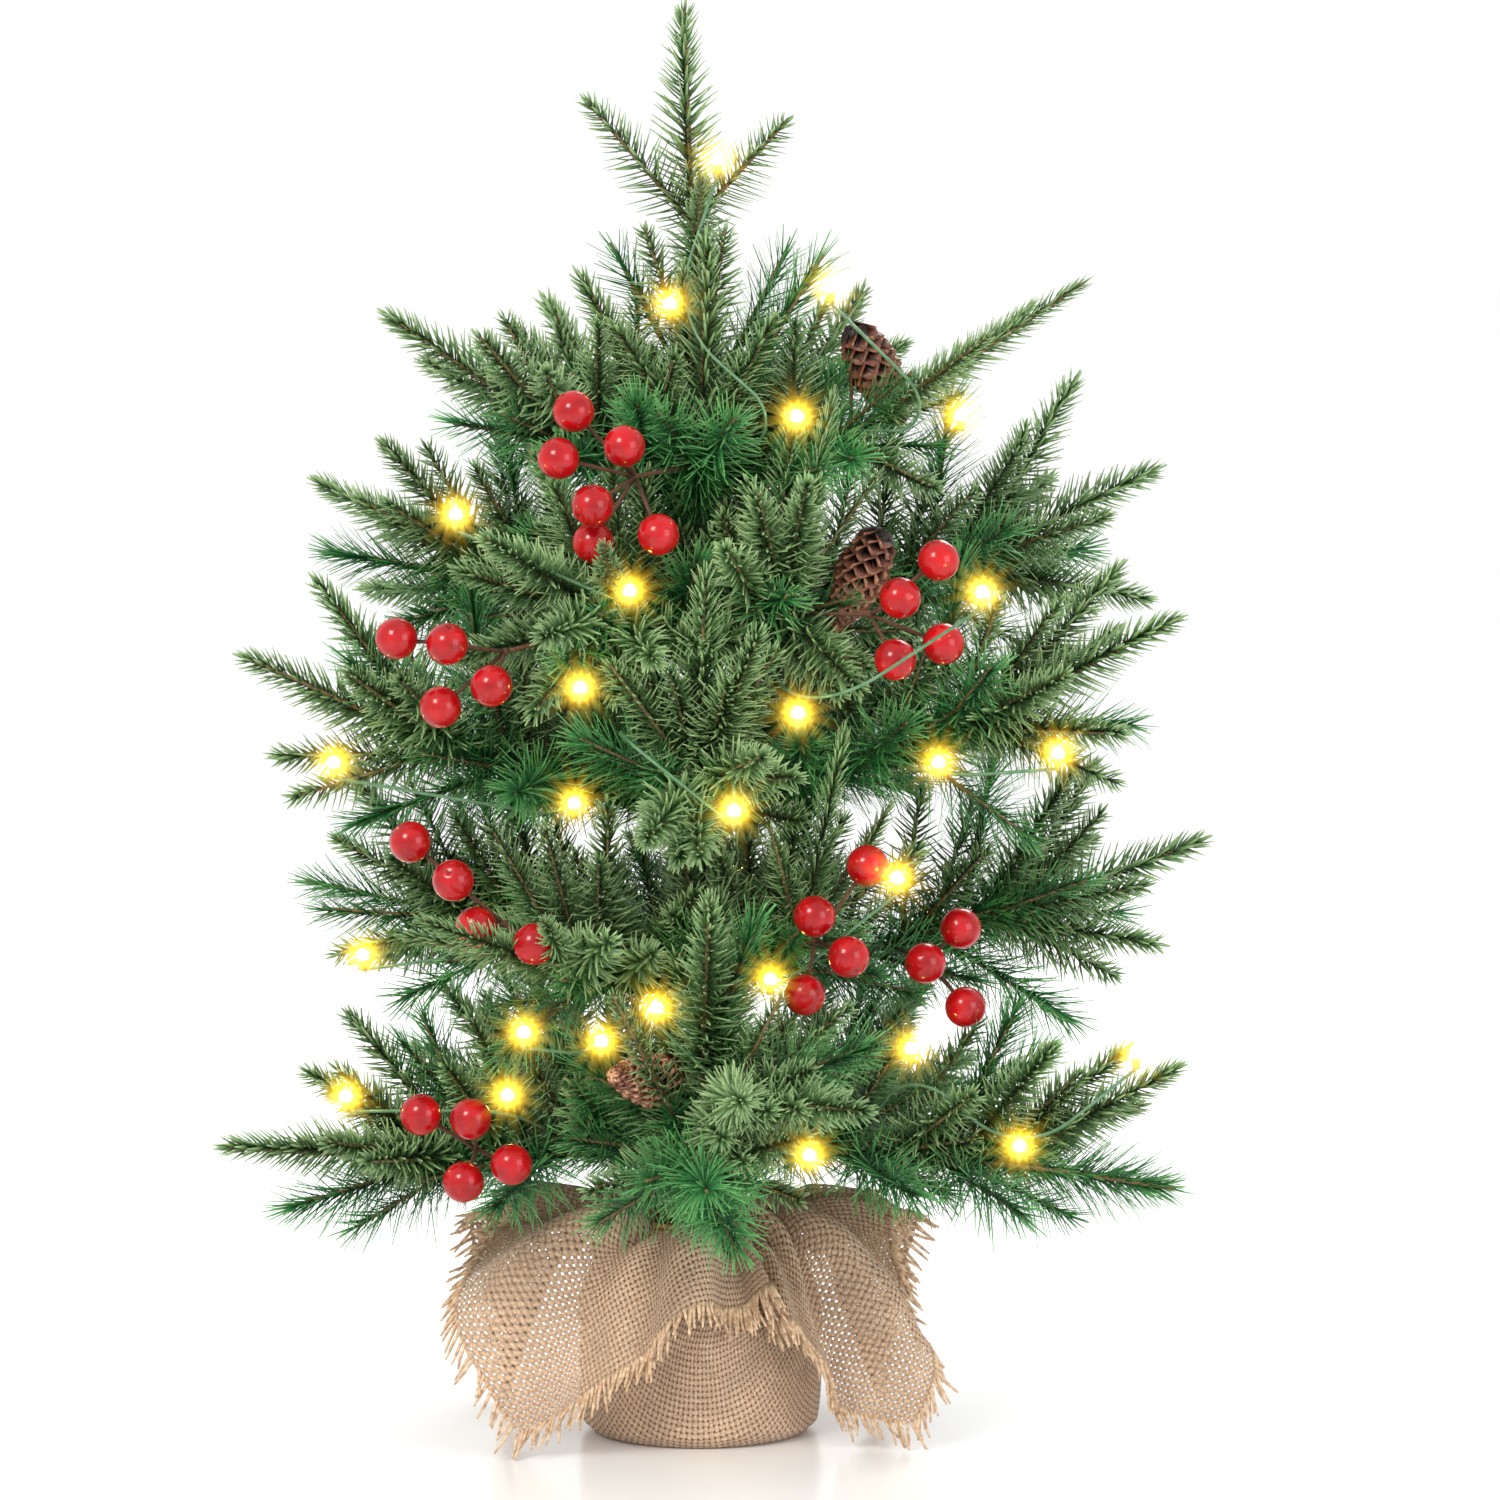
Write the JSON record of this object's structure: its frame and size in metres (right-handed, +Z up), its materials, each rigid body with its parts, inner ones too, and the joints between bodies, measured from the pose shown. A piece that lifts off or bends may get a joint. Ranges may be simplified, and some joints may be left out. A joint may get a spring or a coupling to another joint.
{
  "type": "artificial tabletop tree",
  "caption": "Pre-lit artificial tabletop tree with hinged needle branches, berry picks, pine cones, small lamps and a burlap-wrapped weighted base.",
  "frame": {"origin": "centre of the round base at its underside, on the trunk's axis", "axes": "+Z up along the trunk, -Y towards the front, +X to the right seen from the front"},
  "size_m": [0.4273, 0.3397, 0.61],
  "materials": {
    "needles": "matte moulded and film needles",
    "berry": "gloss lacquer",
    "pine_cone": "dry scales",
    "lamp": "clear warm lamp",
    "concrete": "cast",
    "pole_steel": "painted",
    "tape": "wound tape",
    "burlap": "open weave",
    "twine": "twisted",
    "wire_cover": "soft sleeve",
    "case_plastic": "moulded grain",
    "cell_steel": "plain jacket",
    "contact_steel": "plated",
    "board": "solder mask",
    "knob_plastic": "moulded"
  },
  "bodies": {
    "tree_stand": {"base_weight": "concrete", "trunk_pole": "pole_steel", "root_wraps": "tape", "burlap_wrap": "burlap", "twine_tie": "twine", "leader": "needles", "crown_twigs": "needles", "crown_front_berries": "berry", "crown_right_cone": "pine_cone", "crown_front_lights": "lamp", "crown_right_lights": "lamp", "light_lead": "wire_cover", "battery_case": "case_plastic", "battery_cells": "cell_steel", "battery_contacts": "contact_steel", "circuit_board": "board"},
    "low_front": {"low_front_branch": "needles", "low_front_cone": "pine_cone", "low_front_lights": "lamp"},
    "low_right": {"low_right_branch": "needles", "low_right_lights": "lamp"},
    "low_back_right": {"low_back_right_branch": "needles"},
    "low_back_left": {"low_back_left_branch": "needles"},
    "low_left": {"low_left_branch": "needles", "low_left_berries": "berry", "low_left_lights": "lamp"},
    "waist_front_right": {"waist_front_right_branch": "needles", "waist_front_right_berries": "berry", "waist_front_right_lights": "lamp"},
    "waist_right": {"waist_right_branch": "needles", "waist_right_berries": "berry"},
    "waist_back": {"waist_back_branch": "needles", "waist_back_lights": "lamp"},
    "waist_left": {"waist_left_branch": "needles", "waist_left_lights": "lamp"},
    "waist_front_left": {"waist_front_left_branch": "needles", "waist_front_left_berries": "berry", "waist_front_left_lights": "lamp"},
    "middle_front": {"middle_front_branch": "needles", "middle_front_lights": "lamp"},
    "middle_right": {"middle_right_branch": "needles", "middle_right_lights": "lamp"},
    "middle_back_right": {"middle_back_right_branch": "needles", "middle_back_right_lights": "lamp"},
    "middle_back_left": {"middle_back_left_branch": "needles"},
    "middle_left": {"middle_left_branch": "needles", "middle_left_lights": "lamp"},
    "upper_front_right": {"upper_front_right_branch": "needles", "upper_front_right_berries": "berry", "upper_front_right_cone": "pine_cone", "upper_front_right_lights": "lamp"},
    "upper_right": {"upper_right_branch": "needles"},
    "upper_back": {"upper_back_branch": "needles"},
    "upper_left": {"upper_left_branch": "needles"},
    "upper_front_left": {"upper_front_left_branch": "needles", "upper_front_left_berries": "berry", "upper_front_left_lights": "lamp"},
    "cover": {"battery_cover": "case_plastic"},
    "switch": {"switch_knob": "knob_plastic"}
  },
  "joints": [
    {"name": "low_front_bend", "type": "hinge", "parent": "tree_stand", "child": "low_front", "pos_m": [0, -0.01, 0.122], "axis": [-1, 0, 0], "range_deg": [-6, 4]},
    {"name": "low_right_bend", "type": "hinge", "parent": "tree_stand", "child": "low_right", "pos_m": [0.00951, -0.00309, 0.122], "axis": [-0.309, -0.9511, 0], "range_deg": [-6, 22]},
    {"name": "low_back_right_bend", "type": "hinge", "parent": "tree_stand", "child": "low_back_right", "pos_m": [0.00588, 0.00809, 0.122], "axis": [0.809, -0.5878, 0], "range_deg": [-6, 22]},
    {"name": "low_back_left_bend", "type": "hinge", "parent": "tree_stand", "child": "low_back_left", "pos_m": [-0.00588, 0.00809, 0.122], "axis": [0.809, 0.5878, 0], "range_deg": [-6, 22]},
    {"name": "low_left_bend", "type": "hinge", "parent": "tree_stand", "child": "low_left", "pos_m": [-0.00951, -0.00309, 0.122], "axis": [-0.309, 0.9511, 0], "range_deg": [-6, 22]},
    {"name": "waist_front_right_bend", "type": "hinge", "parent": "tree_stand", "child": "waist_front_right", "pos_m": [0.00602, -0.00799, 0.19], "axis": [-0.7986, -0.6018, 0], "range_deg": [-10, 4]},
    {"name": "waist_right_bend", "type": "hinge", "parent": "tree_stand", "child": "waist_right", "pos_m": [0.00951, 0.00309, 0.19], "axis": [0.309, -0.9511, 0], "range_deg": [-6, 22]},
    {"name": "waist_back_bend", "type": "hinge", "parent": "tree_stand", "child": "waist_back", "pos_m": [0, 0.01, 0.19], "axis": [1, 0, 0], "range_deg": [-6, 22]},
    {"name": "waist_left_bend", "type": "hinge", "parent": "tree_stand", "child": "waist_left", "pos_m": [-0.00951, 0.00309, 0.19], "axis": [0.309, 0.9511, 0], "range_deg": [-6, 22]},
    {"name": "waist_front_left_bend", "type": "hinge", "parent": "tree_stand", "child": "waist_front_left", "pos_m": [-0.00602, -0.00799, 0.19], "axis": [-0.7986, 0.6018, 0], "range_deg": [-6, 22]},
    {"name": "middle_front_bend", "type": "hinge", "parent": "tree_stand", "child": "middle_front", "pos_m": [0, -0.01, 0.262], "axis": [-1, 0, 0], "range_deg": [-10, 4]},
    {"name": "middle_right_bend", "type": "hinge", "parent": "tree_stand", "child": "middle_right", "pos_m": [0.00951, -0.00309, 0.262], "axis": [-0.309, -0.9511, 0], "range_deg": [-6, 22]},
    {"name": "middle_back_right_bend", "type": "hinge", "parent": "tree_stand", "child": "middle_back_right", "pos_m": [0.00588, 0.00809, 0.262], "axis": [0.809, -0.5878, 0], "range_deg": [-6, 22]},
    {"name": "middle_back_left_bend", "type": "hinge", "parent": "tree_stand", "child": "middle_back_left", "pos_m": [-0.00588, 0.00809, 0.262], "axis": [0.809, 0.5878, 0], "range_deg": [-6, 22]},
    {"name": "middle_left_bend", "type": "hinge", "parent": "tree_stand", "child": "middle_left", "pos_m": [-0.00951, -0.00309, 0.262], "axis": [-0.309, 0.9511, 0], "range_deg": [-6, 22]},
    {"name": "upper_front_right_bend", "type": "hinge", "parent": "tree_stand", "child": "upper_front_right", "pos_m": [0.00588, -0.00809, 0.335], "axis": [-0.809, -0.5878, 0], "range_deg": [-10, 4]},
    {"name": "upper_right_bend", "type": "hinge", "parent": "tree_stand", "child": "upper_right", "pos_m": [0.00951, 0.00309, 0.335], "axis": [0.309, -0.9511, 0], "range_deg": [-6, 22]},
    {"name": "upper_back_bend", "type": "hinge", "parent": "tree_stand", "child": "upper_back", "pos_m": [0, 0.01, 0.335], "axis": [1, 0, 0], "range_deg": [-6, 22]},
    {"name": "upper_left_bend", "type": "hinge", "parent": "tree_stand", "child": "upper_left", "pos_m": [-0.00951, 0.00309, 0.335], "axis": [0.309, 0.9511, 0], "range_deg": [-6, 22]},
    {"name": "upper_front_left_bend", "type": "hinge", "parent": "tree_stand", "child": "upper_front_left", "pos_m": [-0.00588, -0.00809, 0.335], "axis": [-0.809, 0.5878, 0], "range_deg": [-8, 2]},
    {"name": "cover_slide", "type": "slide", "parent": "tree_stand", "child": "cover", "axis": [1, 0, 0], "range_m": [0, 0.064]},
    {"name": "switch_slide", "type": "slide", "parent": "tree_stand", "child": "switch", "axis": [1, 0, 0], "range_m": [0, 0.004]}
  ]
}
